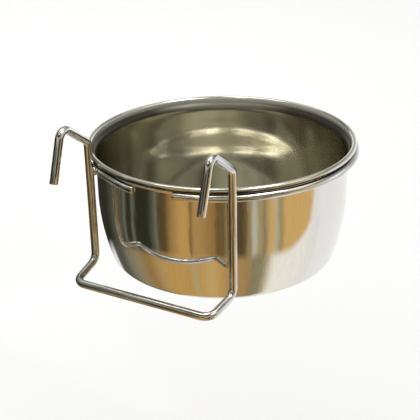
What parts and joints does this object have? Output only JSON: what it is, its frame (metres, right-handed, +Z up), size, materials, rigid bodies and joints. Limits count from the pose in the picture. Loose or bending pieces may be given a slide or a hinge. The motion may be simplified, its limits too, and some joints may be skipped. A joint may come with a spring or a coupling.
{
  "type": "hook-on seed cup",
  "caption": "Round pressed-steel seed cup that rests by its rolled rim in an open wire ring, welded to a bent wire hanger that hooks over a cage rail.",
  "frame": {"origin": "on the axis of the cage rail that the hooks drop over, midway between the two hooks", "axes": "+Z up, -Y towards the outside of the cage, +Y towards the cup, +X along the cage rail"},
  "size_m": [0.1292, 0.1478, 0.0804],
  "materials": {
    "cup_steel": "mirror-polished outside, satin inside",
    "ring_wire": "bright drawn wire, plated",
    "hanger_wire": "bright drawn wire, plated",
    "weld_metal": "bright weld nugget"
  },
  "bodies": {
    "holder": {"hanger_wire": "hanger_wire", "support_ring": "ring_wire", "weld_left": "weld_metal", "weld_right": "weld_metal"},
    "cup": {"cup": "cup_steel"}
  },
  "joints": [
    {"name": "cup_lift", "type": "slide", "parent": "holder", "child": "cup", "axis": [0, 0, 1], "range_m": [0, 0.09]}
  ]
}
